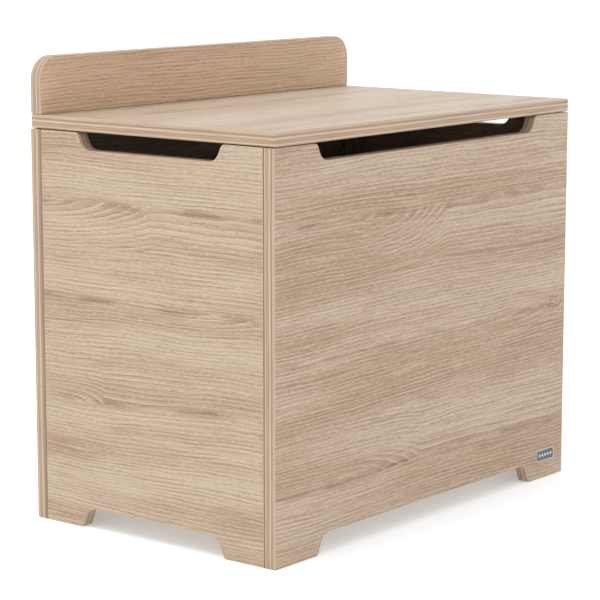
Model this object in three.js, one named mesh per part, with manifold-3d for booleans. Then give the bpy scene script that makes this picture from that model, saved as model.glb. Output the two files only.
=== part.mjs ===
// A wooden toy box with a hinged bench lid, in millimetres.
// +X runs to the right along the front, +Y to the back and +Z up. The origin is on the floor,
// in the middle of the space that the closed box takes up.
import * as THREE from "three";
import { mergeVertices } from "three/addons/utils/BufferGeometryUtils.js";
import Module from "manifold-3d";

const wasm = await Module();
wasm.setup();

// ---------------------------------------------------------------- driving dimensions

// Body boards: the front and back cover the ends of the two sides.
const bodyWidth = 600;
const bodyDepth = 376;
const bodyHeight = 478;
const boardThickness = 16;
const buttGap = 0.3; // open line where one board butts against another
const fitGap = 0.3; // free space round a fitting in its hole or behind it

// Hand slots in the top edges of the front and the sides.
const frontSlotInset = 72; // from the body's corner to where the slot's lip begins
const sideSlotInset = 72;
const slotDepth = 20.5;
const slotLipRadius = 7;
const slotCornerRadius = 16;

// Openings in the bottom edges, which leave a foot at each corner.
const frontFootLength = 75;
const sideFootLength = 72;
const footHeight = 24.7;
const footToeRadius = 5;
const footCornerRadius = 16;
const flankAngle = THREE.MathUtils.degToRad(67); // slope of every slot's and foot's flank

// Base board, let into a groove in all four walls.
const baseThickness = 8;
const grooveDepth = 5;
const grooveCover = 8; // wood between a foot opening and the groove above it

// Lid and the low rail that stands along its back edge.
const lidThickness = 16;
const lidGap = 1.2; // between the body's top edge and the closed lid
const lidSideSetback = 1;
const lidFrontOverhang = 0.7;
const lidOpenAngle = THREE.MathUtils.degToRad(90);
const railHeight = 68.7;
const railThickness = 16;
const railCornerRadius = 28;

// Cam fittings that pull the sides to the front and the back.
const camRadius = 7.2;
const camCover = 3; // wood left behind a cam's pocket
const camFromEdge = 34; // from the side board's edge to the cam's centre
const camDriveLength = 7;
const camDriveWidth = 1.5;
const camDriveDepth = 2;
const boltThreadRadius = 3.1;
const boltThreadLength = 11;
const boltShankRadius = 2.9;
const boltNeckRadius = 1.8;
const boltNeckLength = 6;
const boltHeadRadius = 2.9;
const boltHeadLength = 4.6;
const lowerCamHeight = 80;
const upperCamDrop = 50; // below the body's top edge

// Wooden dowels.
const dowelRadius = 4;
const dowelLength = 30;
const dowelSeat = 10.5; // how much of a dowel sits in the board whose face it enters
const dowelChamfer = 1;

// Butt hinges on the back.
const hingeLength = 70;
const hingeInset = 110; // from the lid's end to the hinge's middle
const hingeLeafThickness = 1.2;
const hingeBodyLeafDrop = 24; // from the pin's axis to the lower leaf's bottom edge
const hingeLeafMargin = 1; // from the upper leaf's top edge to the lid's top face
const hingeBarrelRadius = 2.8;
const hingePinRadius = 1.2;
const pinClearance = 0.05;
const knuckleCount = 5;
const knuckleGap = 0.3;
const hingeScrewSpacing = 50;
const hingeBodyScrewDrop = 14; // from the pin's axis to the lower leaf's screws

// Countersunk screws.
const hingeScrew = { headRadius: 3, headHeight: 1.6, shankRadius: 1.5, length: 14 };
const stayScrew = { headRadius: 3, headHeight: 1.6, shankRadius: 1.5, length: 13 };
const railScrew = { headRadius: 5, headHeight: 3.2, shankRadius: 2.5, length: 50 };
const screwTip = 3;

// Where the rail is held, from the lid's ends inwards.
const railScrewInset = 59;
const railDowelInset = 179;

// Lid stay on the right wall: a parallelogram of two bars, so that its arm turns with the lid.
const stayAnchorSetback = 26; // from the back board's inner face to the arm's pivot
const stayAnchorDrop = 62; // below the hinge axis
const stayReach = 120; // from the hinge axis to the lid's pivot, along the lid
const stayLidPivotDrop = 16; // below the hinge axis
const stayBarRadius = 7; // half the bars' width
const stayBarThickness = 2;
const stayPlateThickness = 1.5;
const stayLayerGap = 0.3;
const stayPlateWidth = 32;
const stayPlateHeight = 66;
const stayPlateCorner = 6;
const stayScrewSpacing = 46;
const stopRadius = 3;
const stopDistance = 18; // from the arm's pivot, along the open arm
const stopClearance = 0.4;
const rivetRadius = 2.5;
const rivetHeadRadius = 4.2;
const rivetHeadHeight = 1;
const openPivotClearance = 0.3;
const bracketLength = 38;
const bracketFlange = 18;
const bracketScrewSpacing = 24;

// Soft pads on the front's top edge, and the blank plate on the right front foot.
const padRadius = 5;
const padInset = 30;
const padPlay = 0.1;
const badgeWidth = 40;
const badgeHeight = 15.5;
const badgeThickness = 0.5;
const badgeCorner = 2;
const badgeGlue = 0.1;
const badgeSideMargin = 21;
const badgeFloorMargin = 23;

// Facets.
const outlineSegments = 3; // gives six facets to each arc of a board's outline
const barSegments = 8;
const holeSides = 16;
const fastenerSides = 12;
const pinSides = 24;
const cutPast = 2; // how far a cutting tool runs past the surface that it enters

// ---------------------------------------------------------------- derived places

const hingeReach = fitGap + 2 * hingeBarrelRadius;
const frontReach = Math.max(lidFrontOverhang, badgeGlue + badgeThickness);
const frontY = (frontReach - hingeReach - bodyDepth) / 2;
const backY = frontY + bodyDepth;
const frontInnerY = frontY + boardThickness;
const backInnerY = backY - boardThickness;
const halfWidth = bodyWidth / 2;
const wallX = halfWidth - boardThickness;
const sideMiddleX = halfWidth - boardThickness / 2;
const camDepth = boardThickness - camCover - 2 * fitGap;

const grooveFloorZ = footHeight + grooveCover;
const grooveHeight = baseThickness + 2 * fitGap;

const lidBottomZ = bodyHeight + lidGap;
const lidTopZ = lidBottomZ + lidThickness;
const lidHalfWidth = halfWidth - lidSideSetback;
const railBottomZ = lidTopZ + buttGap;
const railMiddleY = backY - railThickness / 2;

const hingeAxis = new THREE.Vector3(0, backY + fitGap + hingeBarrelRadius, bodyHeight + lidGap / 2);
const leafInnerY = backY + fitGap;
const leafOuterY = leafInnerY + hingeLeafThickness;

// The stay's pivots in the plane of its bars, as (y, z). The elbow completes the parallelogram.
const stayHinge = new THREE.Vector2(hingeAxis.y, hingeAxis.z);
const stayAnchor = new THREE.Vector2(backInnerY - stayAnchorSetback, hingeAxis.z - stayAnchorDrop);
const stayLidPivot = new THREE.Vector2(hingeAxis.y - stayReach, hingeAxis.z - stayLidPivotDrop);
const stayElbow = stayLidPivot.clone().add(stayAnchor).sub(stayHinge);

// The stay's layers, each thinner than the room to the next, from the right wall inwards.
const plateOuterX = wallX - fitGap;
const plateInnerX = plateOuterX - stayPlateThickness;
const armOuterX = plateInnerX - stayLayerGap;
const armInnerX = armOuterX - stayBarThickness;
const linkOuterX = armInnerX - stayLayerGap;
const linkInnerX = linkOuterX - stayBarThickness;
const earOuterX = linkInnerX - stayLayerGap;
const earInnerX = earOuterX - stayPlateThickness;

const xAxis = new THREE.Vector3(1, 0, 0);
const yAxis = new THREE.Vector3(0, 1, 0);
const zAxis = new THREE.Vector3(0, 0, 1);

// ---------------------------------------------------------------- finishes

const finishes = {
  ashDecor: { color: 0xd9c7a8, roughness: 0.55, metalness: 0 },
  whiteBoard: { color: 0xe9e4da, roughness: 0.6, metalness: 0 },
  beech: { color: 0xcfa878, roughness: 0.7, metalness: 0 },
  zinc: { color: 0xb4b6b8, roughness: 0.4, metalness: 1 },
  steel: { color: 0xc3c5c7, roughness: 0.32, metalness: 1 },
  badge: { color: 0xaeb0b3, roughness: 0.38, metalness: 1 },
  pad: { color: 0xd8d8d4, roughness: 0.5, metalness: 0 },
};

// ---------------------------------------------------------------- solids

function toSolid(geometry) {
  const bare = geometry.clone();
  bare.deleteAttribute("normal");
  bare.deleteAttribute("uv");
  const merged = mergeVertices(bare);
  const mesh = new wasm.Mesh({
    numProp: 3,
    vertProperties: merged.getAttribute("position").array,
    triVerts: new Uint32Array(merged.index.array),
  });
  return new wasm.Manifold(mesh);
}

function toGeometry(solid) {
  const mesh = solid.getMesh();
  const geometry = new THREE.BufferGeometry();
  geometry.setAttribute("position", new THREE.BufferAttribute(mesh.vertProperties, 3));
  geometry.setIndex(new THREE.BufferAttribute(mesh.triVerts, 1));
  geometry.computeVertexNormals();
  return geometry;
}

function carve(geometry, tools) {
  const solid = tools.reduce((left, tool) => left.subtract(toSolid(tool)), toSolid(geometry));
  return toGeometry(solid);
}

function fuse(geometries) {
  return toGeometry(geometries.map(toSolid).reduce((whole, next) => whole.add(next)));
}

// A box between two corners.
function block(low, high) {
  const size = high.clone().sub(low);
  const middle = low.clone().add(high).multiplyScalar(0.5);
  const geometry = new THREE.BoxGeometry(size.x, size.y, size.z);
  return geometry.translate(middle.x, middle.y, middle.z);
}

// A round rod that starts at a point and runs along a direction.
function rod(start, direction, radius, length, sides) {
  const geometry = new THREE.CylinderGeometry(radius, radius, length, sides);
  geometry.translate(0, length / 2, 0);
  geometry.applyQuaternion(new THREE.Quaternion().setFromUnitVectors(yAxis, direction));
  return geometry.translate(start.x, start.y, start.z);
}

// A blind hole drilled from a point on a surface along a direction.
function hole(start, direction, radius, depth, sides = holeSides) {
  const above = start.clone().addScaledVector(direction, -cutPast);
  return rod(above, direction, radius, depth + cutPast, sides);
}

// A turned piece: the profile lists [radius, height] from its bottom to its top.
function turned(profile, sides) {
  const points = profile.map(([radius, height]) => new THREE.Vector2(radius, height));
  return new THREE.LatheGeometry(points, sides);
}

// An outline drawn in (y, z) made solid from x = inner to x = outer.
function slabAlongX(shape, innerX, outerX, segments) {
  const geometry = new THREE.ExtrudeGeometry(shape, {
    depth: outerX - innerX,
    bevelEnabled: false,
    curveSegments: segments,
  });
  geometry.applyMatrix4(new THREE.Matrix4().makeBasis(yAxis, zAxis, xAxis));
  return geometry.translate(innerX, 0, 0);
}

// An outline drawn in (x, z) made solid from y = front to y = back.
function slabAlongY(shape, front, back, segments) {
  const geometry = new THREE.ExtrudeGeometry(shape, {
    depth: back - front,
    bevelEnabled: false,
    curveSegments: segments,
  });
  const towardsFront = yAxis.clone().negate();
  geometry.applyMatrix4(new THREE.Matrix4().makeBasis(xAxis, zAxis, towardsFront));
  return geometry.translate(0, back, 0);
}

// ---------------------------------------------------------------- scene graph

const toyBox = new THREE.Group();
const carcass = new THREE.Group();
const lid = new THREE.Group();
const lidStay = new THREE.Group();
toyBox.add(carcass, lid, lidStay);

function addPiece(group, name, finish, geometry) {
  const mesh = new THREE.Mesh(geometry, new THREE.MeshStandardMaterial(finishes[finish]));
  mesh.name = name;
  group.add(mesh);
  return mesh;
}

// ---------------------------------------------------------------- boards

// Adds one recess to an outline that runs along a straight edge with the wood on its left:
// a rounded lip, a sloping flank and a wide fillet, then the flat and the same again mirrored.
// along is +1 on a bottom edge, which runs to the right, and -1 on a top edge.
function addRecess(shape, along, start, end, edge, depth, lipRadius, cornerRadius) {
  const turn = along > 0 ? 0 : Math.PI;
  const lipRise = lipRadius * (1 - Math.cos(flankAngle));
  const cornerRise = cornerRadius * (1 - Math.cos(flankAngle));
  const flankRun = (depth - lipRise - cornerRise) / Math.tan(flankAngle);
  const run = (lipRadius + cornerRadius) * Math.sin(flankAngle) + flankRun;
  const lipHeight = edge + along * lipRadius;
  const cornerHeight = edge + along * (depth - cornerRadius);
  const quarter = Math.PI / 2;
  shape.lineTo(start, edge);
  shape.absarc(start, lipHeight, lipRadius, turn - quarter, turn - quarter + flankAngle, false);
  shape.absarc(start + along * run, cornerHeight, cornerRadius,
    turn + quarter + flankAngle, turn + quarter, true);
  shape.absarc(end - along * run, cornerHeight, cornerRadius,
    turn + quarter, turn + quarter - flankAngle, true);
  shape.absarc(end, lipHeight, lipRadius, turn - quarter - flankAngle, turn - quarter, false);
}

// A wall's outline from start to end, with a foot opening and, where it has one, a hand slot.
function wallOutline(start, end, footStart, footEnd, slotStart, slotEnd) {
  const shape = new THREE.Shape();
  shape.moveTo(start, 0);
  addRecess(shape, 1, footStart, footEnd, 0, footHeight, footToeRadius, footCornerRadius);
  shape.lineTo(end, 0);
  shape.lineTo(end, bodyHeight);
  if (slotStart !== slotEnd) {
    addRecess(shape, -1, slotEnd, slotStart, bodyHeight, slotDepth, slotLipRadius, slotCornerRadius);
  }
  shape.lineTo(start, bodyHeight);
  return shape;
}

const grooveLow = grooveFloorZ;
const grooveHigh = grooveFloorZ + grooveHeight;

// Holes that the fittings need, gathered for each board before it is cut.
const cuts = { front: [], back: [], left: [], right: [], lid: [], rail: [] };

// ---------------------------------------------------------------- screws and dowels

function screwGeometry(screw) {
  const profile = [
    [0, -screw.length],
    [screw.shankRadius, -screw.length + screwTip],
    [screw.shankRadius, -screw.headHeight],
    [screw.headRadius, 0],
    [0, 0],
  ];
  return turned(profile, fastenerSides);
}

// The hole that a screw leaves: its own profile with the fit gap all round.
function screwHoleGeometry(screw) {
  const profile = [
    [0, -screw.length - fitGap],
    [screw.shankRadius + fitGap, -screw.length - fitGap],
    [screw.shankRadius + fitGap, -screw.headHeight],
    [screw.headRadius + fitGap, 0],
    [screw.headRadius + fitGap, cutPast],
    [0, cutPast],
  ];
  return turned(profile, fastenerSides);
}

// A turn that takes the screw's own direction, which is -Y, to the given one.
function screwTurn(direction) {
  return new THREE.Quaternion().setFromUnitVectors(yAxis.clone().negate(), direction);
}

function addScrew(group, name, screw, head, direction) {
  const mesh = addPiece(group, name, "zinc", screwGeometry(screw));
  mesh.position.copy(head);
  mesh.quaternion.copy(screwTurn(direction));
}

function screwHole(screw, head, direction) {
  const geometry = screwHoleGeometry(screw);
  geometry.applyQuaternion(screwTurn(direction));
  return geometry.translate(head.x, head.y, head.z);
}

// A dowel across the line between two boards. It enters the first board's face against the
// direction and the second board's edge along it.
function addDowel(group, name, face, direction, faceCuts, edgeCuts) {
  const half = dowelLength / 2;
  const profile = [
    [0, -half],
    [dowelRadius - dowelChamfer, -half],
    [dowelRadius, -half + dowelChamfer],
    [dowelRadius, half - dowelChamfer],
    [dowelRadius - dowelChamfer, half],
    [0, half],
  ];
  const mesh = addPiece(group, name, "beech", turned(profile, fastenerSides));
  mesh.position.copy(face).addScaledVector(direction, half - dowelSeat);
  mesh.quaternion.setFromUnitVectors(yAxis, direction);
  const radius = dowelRadius + fitGap;
  const back = direction.clone().negate();
  faceCuts.push(hole(face, back, radius, dowelSeat + fitGap, fastenerSides));
  edgeCuts.push(hole(face, direction, radius, dowelLength - dowelSeat + fitGap, fastenerSides));
}

// ---------------------------------------------------------------- cam fittings

// Distance from the front's or back's inner face to the cam's centre.
const boltReach = buttGap + camFromEdge;
const boltHeadStart = boltReach - boltHeadLength / 2;

// The bolt stands along +Y, with the face of the board that holds its thread at y = 0.
function boltGeometry() {
  const profile = [
    [0, -boltThreadLength],
    [boltThreadRadius, -boltThreadLength],
    [boltThreadRadius, 0],
    [boltShankRadius, 0],
    [boltShankRadius, boltHeadStart - boltNeckLength],
    [boltNeckRadius, boltHeadStart - boltNeckLength],
    [boltNeckRadius, boltHeadStart],
    [boltHeadRadius, boltHeadStart],
    [boltHeadRadius, boltHeadStart + boltHeadLength],
    [0, boltHeadStart + boltHeadLength],
  ];
  return turned(profile, fastenerSides);
}

// The cam's visible face is at z = 0 and its body below. The bolt comes in along +Y from
// y < 0 at half the board's thickness, and a cross-shaped drive is sunk in the face.
function camGeometry() {
  const body = new THREE.CylinderGeometry(camRadius, camRadius, camDepth, holeSides);
  body.rotateX(Math.PI / 2);
  body.translate(0, 0, -camDepth / 2);
  const boltZ = fitGap - boardThickness / 2;
  const neck = boltNeckRadius + fitGap;
  const head = boltHeadRadius + fitGap;
  const headRoom = boltHeadLength / 2 + fitGap;
  const driveArm = camDriveLength / 2;
  const driveHalf = camDriveWidth / 2;
  return carve(body, [
    block(
      new THREE.Vector3(-neck, -camRadius - cutPast, -camDepth - cutPast),
      new THREE.Vector3(neck, 0, boltZ + neck),
    ),
    block(
      new THREE.Vector3(-head, -headRoom, -camDepth - cutPast),
      new THREE.Vector3(head, headRoom, boltZ + head),
    ),
    block(
      new THREE.Vector3(-driveArm, -driveHalf, -camDriveDepth),
      new THREE.Vector3(driveArm, driveHalf, cutPast),
    ),
    block(
      new THREE.Vector3(-driveHalf, -driveArm, -camDriveDepth),
      new THREE.Vector3(driveHalf, driveArm, cutPast),
    ),
  ]);
}

// One cam and its bolt at a corner. side is -1 at the left wall and +1 at the right, and
// end is -1 at the front and +1 at the back.
function addCamJoint(label, side, end, height, panelCuts, sideCuts) {
  const faceY = end < 0 ? frontInnerY : backInnerY;
  const inwards = new THREE.Vector3(0, -end, 0);
  const outwards = inwards.clone().negate();
  const towardsWall = new THREE.Vector3(side, 0, 0);
  const face = new THREE.Vector3(side * sideMiddleX, faceY, height);

  const bolt = addPiece(carcass, "cam_bolt_" + label, "zinc", boltGeometry());
  bolt.position.copy(face);
  bolt.quaternion.setFromUnitVectors(yAxis, inwards);
  panelCuts.push(hole(face, outwards, boltThreadRadius + fitGap, boltThreadLength + fitGap));
  sideCuts.push(hole(face, inwards, boltShankRadius + fitGap, boltReach));

  const mouth = new THREE.Vector3(side * wallX, faceY - end * boltReach, height);
  const cam = addPiece(carcass, "cam_" + label, "zinc", camGeometry());
  const across = new THREE.Vector3(0, 0, -side * end);
  const facing = new THREE.Matrix4().makeBasis(across, inwards, towardsWall.clone().negate());
  cam.position.copy(mouth).addScaledVector(towardsWall, fitGap);
  cam.quaternion.setFromRotationMatrix(facing);
  sideCuts.push(hole(mouth, towardsWall, camRadius + fitGap, camDepth + 2 * fitGap));
}

const corners = [
  { label: "front_left", side: -1, end: -1, panel: "front", wall: "left" },
  { label: "front_right", side: 1, end: -1, panel: "front", wall: "right" },
  { label: "back_left", side: -1, end: 1, panel: "back", wall: "left" },
  { label: "back_right", side: 1, end: 1, panel: "back", wall: "right" },
];
const upperCamHeight = bodyHeight - upperCamDrop;

for (const { label, side, end, panel, wall } of corners) {
  addCamJoint(label + "_lower", side, end, lowerCamHeight, cuts[panel], cuts[wall]);
  addCamJoint(label + "_upper", side, end, upperCamHeight, cuts[panel], cuts[wall]);
  const faceY = end < 0 ? frontInnerY : backInnerY;
  const face = new THREE.Vector3(side * sideMiddleX, faceY, (lowerCamHeight + upperCamHeight) / 2);
  const inwards = new THREE.Vector3(0, -end, 0);
  addDowel(carcass, "dowel_" + label, face, inwards, cuts[panel], cuts[wall]);
}

// ---------------------------------------------------------------- hinges

// One leaf with its knuckles. up is +1 for the lid's leaf and -1 for the body's, and the
// knuckles it owns are the ones whose number has the given remainder by two.
function leafGeometry(centreX, up, reach, remainder, screwCuts) {
  const left = centreX - hingeLength / 2;
  const pitch = hingeLength / knuckleCount;
  const clear = hingeBarrelRadius + knuckleGap;
  const levels = [hingeAxis.z + up * clear, hingeAxis.z + up * reach].sort((a, b) => a - b);
  const pieces = [
    block(
      new THREE.Vector3(left, leafInnerY, levels[0]),
      new THREE.Vector3(left + hingeLength, leafOuterY, levels[1]),
    ),
  ];
  for (let i = 0; i < knuckleCount; i++) {
    if (i % 2 !== remainder) continue;
    const start = left + i * pitch + (i > 0 ? knuckleGap / 2 : 0);
    const end = left + (i + 1) * pitch - (i < knuckleCount - 1 ? knuckleGap / 2 : 0);
    const neck = [hingeAxis.z, hingeAxis.z + up * (clear + knuckleGap)].sort((a, b) => a - b);
    pieces.push(
      block(new THREE.Vector3(start, leafInnerY, neck[0]), new THREE.Vector3(end, leafOuterY, neck[1])),
      rod(new THREE.Vector3(start, hingeAxis.y, hingeAxis.z), xAxis, hingeBarrelRadius, end - start,
        holeSides),
    );
  }
  const boreStart = new THREE.Vector3(left, hingeAxis.y, hingeAxis.z);
  const bore = hole(boreStart, xAxis, hingePinRadius + pinClearance, hingeLength + cutPast, pinSides);
  return carve(fuse(pieces), [bore, ...screwCuts]);
}

const forwards = yAxis.clone().negate();

function addHinge(label, centreX) {
  const lidScrewZ = lidBottomZ + lidThickness / 2;
  const bodyScrewZ = hingeAxis.z - hingeBodyScrewDrop;
  const screwHoles = { body: [], lid: [] };
  for (const [number, offset] of [[1, -hingeScrewSpacing / 2], [2, hingeScrewSpacing / 2]]) {
    const bodyHead = new THREE.Vector3(centreX + offset, leafOuterY, bodyScrewZ);
    const lidHead = new THREE.Vector3(centreX + offset, leafOuterY, lidScrewZ);
    addScrew(carcass, `hinge_${label}_body_screw_${number}`, hingeScrew, bodyHead, forwards);
    addScrew(lid, `hinge_${label}_lid_screw_${number}`, hingeScrew, lidHead, forwards);
    screwHoles.body.push(screwHole(hingeScrew, bodyHead, forwards));
    screwHoles.lid.push(screwHole(hingeScrew, lidHead, forwards));
  }
  cuts.back.push(...screwHoles.body);
  cuts.lid.push(...screwHoles.lid);
  const lidLeafReach = lidTopZ - hingeLeafMargin - hingeAxis.z;
  const bodyLeaf = leafGeometry(centreX, -1, hingeBodyLeafDrop, 0, screwHoles.body);
  const lidLeaf = leafGeometry(centreX, 1, lidLeafReach, 1, screwHoles.lid);
  addPiece(carcass, `hinge_${label}_body_leaf`, "steel", bodyLeaf);
  addPiece(lid, `hinge_${label}_lid_leaf`, "steel", lidLeaf);

  const pinGeometry = new THREE.CylinderGeometry(hingePinRadius, hingePinRadius, hingeLength, pinSides);
  const pin = addPiece(carcass, `hinge_${label}_pin`, "steel", pinGeometry);
  pin.position.set(centreX, hingeAxis.y, hingeAxis.z);
  pin.rotation.z = Math.PI / 2;
}

addHinge("left", hingeInset - lidHalfWidth);
addHinge("right", lidHalfWidth - hingeInset);

// ---------------------------------------------------------------- rail fastenings

const railScrewPlaces = [
  ["left", railScrewInset - lidHalfWidth],
  ["middle", 0],
  ["right", lidHalfWidth - railScrewInset],
];
for (const [label, x] of railScrewPlaces) {
  const head = new THREE.Vector3(x, railMiddleY, lidBottomZ);
  addScrew(lid, "rail_screw_" + label, railScrew, head, zAxis);
  cuts.lid.push(screwHole(railScrew, head, zAxis));
  cuts.rail.push(screwHole(railScrew, head, zAxis));
}

const railDowelPlaces = [
  ["left", railDowelInset - lidHalfWidth],
  ["right", lidHalfWidth - railDowelInset],
];
for (const [label, x] of railDowelPlaces) {
  const face = new THREE.Vector3(x, railMiddleY, lidTopZ);
  addDowel(lid, "rail_dowel_" + label, face, zAxis, cuts.lid, cuts.rail);
}

// ---------------------------------------------------------------- lid stay

function addCircle(shape, centre, radius) {
  const circle = new THREE.Path();
  circle.absarc(centre.x, centre.y, radius, 0, 2 * Math.PI, true);
  shape.holes.push(circle);
}

// A flat bar with round ends between two pivots.
function barOutline(from, to) {
  const shape = new THREE.Shape();
  const heading = Math.atan2(to.y - from.y, to.x - from.x);
  const quarter = Math.PI / 2;
  shape.absarc(to.x, to.y, stayBarRadius, heading - quarter, heading + quarter, false);
  shape.absarc(from.x, from.y, stayBarRadius, heading + quarter, heading + 3 * quarter, false);
  addCircle(shape, from, rivetRadius + pinClearance);
  addCircle(shape, to, rivetRadius + pinClearance);
  return shape;
}

function roundedRectangle(low, high, radius) {
  const shape = new THREE.Shape();
  const quarter = Math.PI / 2;
  shape.absarc(high.x - radius, low.y + radius, radius, -quarter, 0, false);
  shape.absarc(high.x - radius, high.y - radius, radius, 0, quarter, false);
  shape.absarc(low.x + radius, high.y - radius, radius, quarter, 2 * quarter, false);
  shape.absarc(low.x + radius, low.y + radius, radius, 2 * quarter, 3 * quarter, false);
  return shape;
}

// A rivet along X, from its flush or headed outer end to its headed inner end.
function rivetGeometry(pivot, outerX, innerX, outerHead) {
  const shank = rod(new THREE.Vector3(innerX, pivot.x, pivot.y), xAxis, rivetRadius,
    outerX - innerX, pinSides);
  const headAt = (x) => rod(new THREE.Vector3(x, pivot.x, pivot.y), xAxis, rivetHeadRadius,
    rivetHeadHeight, pinSides);
  const pieces = [shank, headAt(innerX - rivetHeadHeight)];
  if (outerHead) pieces.push(headAt(outerX));
  return fuse(pieces);
}

function addLidStay() {
  const half = new THREE.Vector2(stayPlateWidth / 2, stayPlateHeight / 2);
  const plateShape = roundedRectangle(
    stayAnchor.clone().sub(half), stayAnchor.clone().add(half), stayPlateCorner);
  addCircle(plateShape, stayAnchor, rivetRadius + pinClearance);

  // The stop stands behind the open arm, a clearance away from its edge.
  const closedArm = stayLidPivot.clone().sub(stayHinge).normalize();
  const openArm = closedArm.clone().rotateAround(new THREE.Vector2(), -lidOpenAngle);
  const behind = new THREE.Vector2(openArm.y, -openArm.x);
  const stopCentre = stayAnchor.clone().addScaledVector(openArm, stopDistance)
    .addScaledVector(behind, stayBarRadius + stopRadius + stopClearance);
  const stop = rod(new THREE.Vector3(armInnerX, stopCentre.x, stopCentre.y), xAxis, stopRadius,
    plateOuterX - armInnerX, holeSides);

  const wallScrews = [
    ["lower", -stayScrewSpacing / 2],
    ["upper", stayScrewSpacing / 2],
  ];
  const plateHoles = wallScrews.map(([label, offset]) => {
    const head = new THREE.Vector3(plateInnerX, stayAnchor.x, stayAnchor.y + offset);
    addScrew(lidStay, "stay_wall_screw_" + label, stayScrew, head, xAxis);
    return screwHole(stayScrew, head, xAxis);
  });
  cuts.right.push(...plateHoles);
  const plate = fuse([slabAlongX(plateShape, plateInnerX, plateOuterX, barSegments), stop]);
  addPiece(lidStay, "stay_wall_plate", "zinc", carve(plate, plateHoles));

  const arm = slabAlongX(barOutline(stayAnchor, stayElbow), armInnerX, armOuterX, barSegments);
  addPiece(lidStay, "stay_arm", "zinc", arm);
  const link = slabAlongX(barOutline(stayElbow, stayLidPivot), linkInnerX, linkOuterX, barSegments);
  addPiece(lidStay, "stay_link", "zinc", link);

  // The lid's bracket: an ear round the lid's pivot under a flange that is screwed to the lid.
  const flangeTop = lidBottomZ - fitGap;
  const flangeBottom = flangeTop - stayPlateThickness;
  const ear = new THREE.Shape();
  ear.absarc(stayLidPivot.x, stayLidPivot.y, stayBarRadius, Math.PI, 2 * Math.PI, false);
  ear.lineTo(stayLidPivot.x + stayBarRadius, flangeTop);
  ear.lineTo(stayLidPivot.x - stayBarRadius, flangeTop);
  addCircle(ear, stayLidPivot, rivetRadius + openPivotClearance);
  const flange = block(
    new THREE.Vector3(earOuterX - bracketFlange, stayLidPivot.x - bracketLength / 2, flangeBottom),
    new THREE.Vector3(earOuterX, stayLidPivot.x + bracketLength / 2, flangeTop),
  );
  const bracketScrews = [
    ["front", -bracketScrewSpacing / 2],
    ["back", bracketScrewSpacing / 2],
  ];
  const flangeHoles = bracketScrews.map(([label, offset]) => {
    const x = earInnerX - bracketFlange / 2;
    const head = new THREE.Vector3(x, stayLidPivot.x + offset, flangeBottom);
    addScrew(lid, "stay_lid_screw_" + label, stayScrew, head, zAxis);
    return screwHole(stayScrew, head, zAxis);
  });
  cuts.lid.push(...flangeHoles);
  const bracket = fuse([slabAlongX(ear, earInnerX, earOuterX, barSegments), flange]);
  addPiece(lid, "stay_lid_bracket", "zinc", carve(bracket, flangeHoles));

  addPiece(lidStay, "stay_wall_rivet", "steel",
    rivetGeometry(stayAnchor, plateOuterX, armInnerX - pinClearance, false));
  addPiece(lidStay, "stay_elbow_rivet", "steel",
    rivetGeometry(stayElbow, armOuterX + pinClearance, linkInnerX - pinClearance, true));
  addPiece(lidStay, "stay_lid_rivet", "steel",
    rivetGeometry(stayLidPivot, linkOuterX + pinClearance, earInnerX - pinClearance, true));
}

addLidStay();

// ---------------------------------------------------------------- the boards themselves

function addFrontAndBack() {
  const footEnd = halfWidth - frontFootLength;
  const slotEnd = halfWidth - frontSlotInset;
  const frontShape = wallOutline(-halfWidth, halfWidth, -footEnd, footEnd, -slotEnd, slotEnd);
  const backShape = wallOutline(-halfWidth, halfWidth, -footEnd, footEnd, 0, 0);
  const grooveEnd = wallX + grooveDepth;
  const frontGroove = block(
    new THREE.Vector3(-grooveEnd, frontInnerY - grooveDepth, grooveLow),
    new THREE.Vector3(grooveEnd, frontInnerY + cutPast, grooveHigh),
  );
  const backGroove = block(
    new THREE.Vector3(-grooveEnd, backInnerY - cutPast, grooveLow),
    new THREE.Vector3(grooveEnd, backInnerY + grooveDepth, grooveHigh),
  );
  const front = slabAlongY(frontShape, frontY, frontInnerY, outlineSegments);
  const back = slabAlongY(backShape, backInnerY, backY, outlineSegments);
  addPiece(carcass, "front_panel", "ashDecor", carve(front, [frontGroove, ...cuts.front]));
  addPiece(carcass, "back_panel", "ashDecor", carve(back, [backGroove, ...cuts.back]));
}

function addSide(name, side, sideCuts) {
  const start = frontInnerY + buttGap;
  const end = backInnerY - buttGap;
  const shape = wallOutline(start, end, frontY + sideFootLength, backY - sideFootLength,
    frontY + sideSlotInset, backY - sideSlotInset);
  const faces = [side * wallX, side * halfWidth].sort((a, b) => a - b);
  const grooveFaces = [side * (wallX - cutPast), side * (wallX + grooveDepth)].sort((a, b) => a - b);
  const groove = block(
    new THREE.Vector3(grooveFaces[0], start - cutPast, grooveLow),
    new THREE.Vector3(grooveFaces[1], end + cutPast, grooveHigh),
  );
  const board = slabAlongX(shape, faces[0], faces[1], outlineSegments);
  addPiece(carcass, name, "ashDecor", carve(board, [groove, ...sideCuts]));
}

function addBase() {
  const halfX = wallX + grooveDepth - fitGap;
  const bottom = grooveFloorZ + fitGap;
  const board = block(
    new THREE.Vector3(-halfX, frontInnerY - grooveDepth + fitGap, bottom),
    new THREE.Vector3(halfX, backInnerY + grooveDepth - fitGap, bottom + baseThickness),
  );
  addPiece(carcass, "base_panel", "whiteBoard", board);
}

function addLidBoard() {
  const board = block(
    new THREE.Vector3(-lidHalfWidth, frontY - lidFrontOverhang, lidBottomZ),
    new THREE.Vector3(lidHalfWidth, backY, lidTopZ),
  );
  addPiece(lid, "lid_board", "ashDecor", carve(board, cuts.lid));
}

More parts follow.
